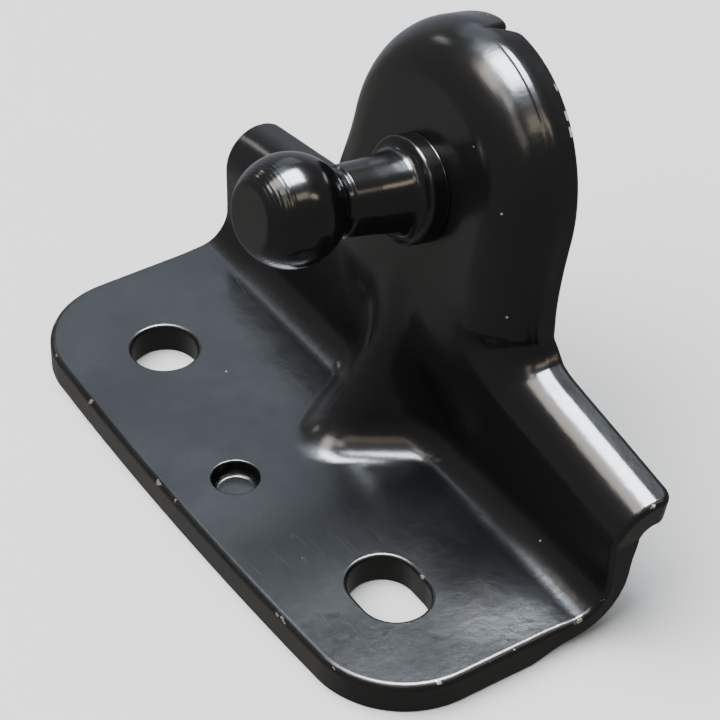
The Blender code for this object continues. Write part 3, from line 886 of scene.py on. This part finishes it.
class Nodes:
    """Short calls for the nodes of a material or of the world."""

    def __init__(self, owner, shader="Principled BSDF", space="Object"):
        owner.use_nodes = True
        self.owner = owner
        self.tree = owner.node_tree
        self.shader = self.tree.nodes[shader]
        self.place = self.new("ShaderNodeTexCoord").outputs[space]

    def new(self, kind, **settings):
        node = self.tree.nodes.new(kind)
        for name, value in settings.items():
            setattr(node, name, value)
        return node

    def link(self, value, socket):
        if isinstance(value, bpy.types.NodeSocket):
            self.tree.links.new(value, socket)
        else:
            socket.default_value = value

    def math(self, operation, first, second=0.0):
        node = self.new("ShaderNodeMath", operation=operation)
        self.link(first, node.inputs[0])
        self.link(second, node.inputs[1])
        return node.outputs[0]

    def stretch(self, scale, turn):
        node = self.new("ShaderNodeMapping")
        self.link(self.place, node.inputs["Vector"])
        node.inputs["Rotation"].default_value = turn
        node.inputs["Scale"].default_value = scale
        return node.outputs[0]

    def noise(self, scale, detail=2.0, roughness=0.5, place=None):
        node = self.new("ShaderNodeTexNoise")
        self.link(place or self.place, node.inputs["Vector"])
        node.inputs["Scale"].default_value = scale
        node.inputs["Detail"].default_value = detail
        node.inputs["Roughness"].default_value = roughness
        return node.outputs["Fac"]

    def specks(self, scale):
        """(distance from each cell's middle, a random number for each cell)."""
        node = self.new("ShaderNodeTexVoronoi")
        self.link(self.place, node.inputs["Vector"])
        node.inputs["Scale"].default_value = scale
        pick = self.new("ShaderNodeSeparateColor")
        self.link(node.outputs["Color"], pick.inputs[0])
        return node.outputs["Distance"], pick.outputs[0]

    def scratches(self, scale, turn):
        """Thin straight marks along the long way of a stretched noise, in a few places only."""
        noise = self.noise(1.0, 1.0, 0.5, self.stretch(scale, turn))
        line = self.ramp(self.math("ABSOLUTE", self.math("SUBTRACT", noise, 0.5)), 0.0, 0.006, 1.0, 0.0)
        return self.math("MULTIPLY", line, self.ramp(self.noise(PATCH_SCALE), 0.62, 0.68))

    def along(self, direction, low, high):
        """Share of the light from about this direction, by the cosines where it begins and is full."""
        node = self.new("ShaderNodeVectorMath", operation="DOT_PRODUCT")
        self.link(self.place, node.inputs[0])
        node.inputs[1].default_value = direction
        return self.ramp(node.outputs["Value"], low, high)

    def height(self):
        node = self.new("ShaderNodeSeparateXYZ")
        self.link(self.place, node.inputs[0])
        return node.outputs["Z"]

    def dome(self, centre, radius):
        """A soft mound, 1 in the middle and 0 from the radius on."""
        node = self.new("ShaderNodeVectorMath", operation="DISTANCE")
        self.link(self.place, node.inputs[0])
        node.inputs[1].default_value = centre
        return self.ramp(node.outputs["Value"], 0.0, radius, 1.0, 0.0)

    def ramp(self, value, low, high, start=0.0, end=1.0):
        node = self.new("ShaderNodeMapRange", interpolation_type="SMOOTHSTEP")
        self.link(value, node.inputs["Value"])
        for socket, number in zip(("From Min", "From Max", "To Min", "To Max"), (low, high, start, end)):
            node.inputs[socket].default_value = number
        return node.outputs["Result"]

    def mix(self, share, first, second):
        node = self.new("ShaderNodeMix", data_type="RGBA")
        self.link(share, node.inputs["Factor"])
        self.link(first, node.inputs[6])
        self.link(second, node.inputs[7])
        return node.outputs[2]

    def mark(self, name):
        return self.new("ShaderNodeAttribute", attribute_name=name).outputs["Fac"]

    def bump(self, height, strength, distance, below=None):
        node = self.new("ShaderNodeBump")
        self.link(height, node.inputs["Height"])
        node.inputs["Strength"].default_value = strength
        node.inputs["Distance"].default_value = distance
        if below is not None:
            self.link(below, node.inputs["Normal"])
        return node.outputs["Normal"]


def painted(name, smooth, rough, peel):
    """Black paint with a soft orange peel, dust, and chips along the outer edges.

    Returns the nodes, and the sockets of the colour and of the bumps so far."""
    n = Nodes(bpy.data.materials.new(name))
    clouds = n.noise(CLOUD_SCALE, 3.0, 0.6)
    fine = n.noise(GLOSS_SCALE, 3.0, 0.6)
    colour = n.mix(clouds, *PAINT_COLOURS)

    distance, pick = n.specks(DUST_SCALE)
    dust = n.math("LESS_THAN", distance, n.ramp(pick, 0.97, 1.0, 0.0, 0.1))
    colour = n.mix(n.math("MULTIPLY", dust, 0.6), colour, DUST_COLOUR)

    edge = n.mark("corner")
    flakes = n.math("ADD", n.noise(CHIP_SCALE, 4.0, 0.65), n.math("MULTIPLY", edge, 0.14))
    chips = n.math("MULTIPLY", n.ramp(flakes, 0.755, 0.77), n.ramp(edge, 0.1, 0.5))
    colour = n.mix(chips, colour, CHIP_COLOUR)

    gloss = n.math("ADD", n.ramp(clouds, 0.3, 0.7, smooth, rough), n.math("MULTIPLY", fine, 0.05))
    gloss = n.math("ADD", gloss, n.math("MULTIPLY", dust, 0.3))
    gloss = n.math("ADD", gloss, n.math("MULTIPLY", n.mark("cut"), 0.08))
    n.link(gloss, n.shader.inputs["Roughness"])
    n.link(n.math("MULTIPLY", chips, 0.8), n.shader.inputs["Metallic"])

    waves = n.bump(n.noise(WAVE_SCALE), 0.25, 0.12 * MM)
    orange = n.bump(n.noise(PEEL_SCALE), peel, 0.02 * MM, waves)
    grain = n.bump(n.noise(GRAIN_SCALE), peel / 4, 0.01 * MM, orange)
    flaked = n.bump(n.math("SUBTRACT", dust, chips), 0.5, 0.03 * MM, grain)
    n.link(colour, n.shader.inputs["Base Color"])
    n.link(flaked, n.shader.inputs["Normal"])
    return n, colour, flaked


def handled_paint(name):
    """The pressing's paint: the same, with scratches on the plate, nicks in the ear's edge and a dish."""
    n, colour, flaked = painted(name, *BRACKET_FINISH)
    scratch = n.scratches(SCRATCH_SCALE, SCRATCH_TURN)
    scratch = n.math("MULTIPLY", scratch, n.ramp(n.height(), SHEET, SHEET + 0.1 * MM, 1.0, 0.0))
    colour = n.mix(n.math("MULTIPLY", scratch, 0.25), colour, SCRATCH_COLOUR)
    edge = n.ramp(n.mark("corner"), 0.02, 0.2)
    for spot in EDGE_NICKS:
        nick = n.math("MULTIPLY", n.ramp(n.dome(spot, NICK_RADIUS), 0.4, 0.6), edge)
        colour = n.mix(nick, colour, NICK_COLOUR)
    n.link(colour, n.shader.inputs["Base Color"])
    dished = n.bump(n.dome(DISH_CENTRE, DISH_RADIUS), 1.0, DISH_HEIGHT, flaked)
    n.link(n.bump(scratch, -0.2, 0.03 * MM, dished), n.shader.inputs["Normal"])
    return n.owner


# Stage, lights and camera


def stage():
    """A pale paper floor, hidden from reflections so that the paint stays dark."""
    mesh = bpy.data.meshes.new("floor")
    corners = [(x * FLOOR_REACH, y * FLOOR_REACH) for x, y in ((-1, -1), (1, -1), (1, 1), (-1, 1))]
    mesh.from_pydata([(x, y, FLOOR_Z) for x, y in corners], [], [(0, 1, 2, 3)])
    floor = bpy.data.objects.new("floor", mesh)
    bpy.context.scene.collection.objects.link(floor)
    n = Nodes(bpy.data.materials.new("paper"))
    n.link(PAPER_COLOUR, n.shader.inputs["Base Color"])
    n.link(PAPER_ROUGHNESS, n.shader.inputs["Roughness"])
    mesh.materials.append(n.owner)
    floor.visible_glossy = False


def softbox(name, towards, width, height, radiance, colour, shine):
    """A lit panel that faces the part from a metre away. Its width runs along X.

    A shine panel shows only in reflections, and any other lights the part without showing in them."""
    light = bpy.data.lights.new(name, "AREA")
    light.shape = "RECTANGLE"
    light.size = width
    light.size_y = height
    light.energy = radiance * math.pi * width * height
    light.color = colour
    lamp = bpy.data.objects.new(name, light)
    away = Vector(towards).normalized()
    across = Vector((1.0, 0.0, 0.0))
    across = (across - away * across.dot(away)).normalized()
    turn = Matrix((across, away.cross(across), away)).transposed().to_4x4()
    lamp.matrix_world = Matrix.Translation(LIT_POINT + away) @ turn
    lamp.visible_camera = False
    lamp.visible_diffuse = not shine
    lamp.visible_glossy = shine
    bpy.context.scene.collection.objects.link(lamp)


def room():
    world = bpy.data.worlds.new("room")
    n = Nodes(world, "Background", "Generated")
    behind = n.along(*BEHIND)
    below = n.along(*BELOW)
    n.link(n.mix(behind, ROOM_COLOUR, ROOM_COLOUR_BEHIND), n.shader.inputs["Color"])
    glow = n.math("ADD", n.math("MULTIPLY", behind, BEHIND_GLOW), n.math("MULTIPLY", below, BELOW_GLOW))
    n.link(n.math("ADD", glow, ROOM_GLOW), n.shader.inputs["Strength"])
    bpy.context.scene.world = world


def lights():
    softbox(*KEY_PANEL, shine=False)
    for panel in SHINE_PANELS:
        softbox(*panel, shine=True)


def camera():
    data = bpy.data.cameras.new("camera")
    data.lens = CAMERA_LENS
    data.sensor_width = CAMERA_SENSOR
    data.clip_start = CAMERA_CLIP
    made = bpy.data.objects.new("camera", data)
    made.location = CAMERA_PLACE
    made.rotation_euler = [math.radians(angle) for angle in CAMERA_DEGREES]
    bpy.context.scene.collection.objects.link(made)
    bpy.context.scene.camera = made


def main():
    bracket = bracket_mesh().build("bracket_pressing")
    bracket.data.materials.append(handled_paint("black_paint_semi_gloss"))
    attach(bracket, "root")
    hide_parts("bracket")

    stud = turned_skin(stud_path()).build("ball_stud_turned")
    stud.matrix_world = stud_frame()
    stud.data.materials.append(painted("black_paint_gloss", *STUD_FINISH)[0].owner)
    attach(stud, "root")
    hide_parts("ball_stud")

    stage()
    room()
    lights()
    camera()


main()
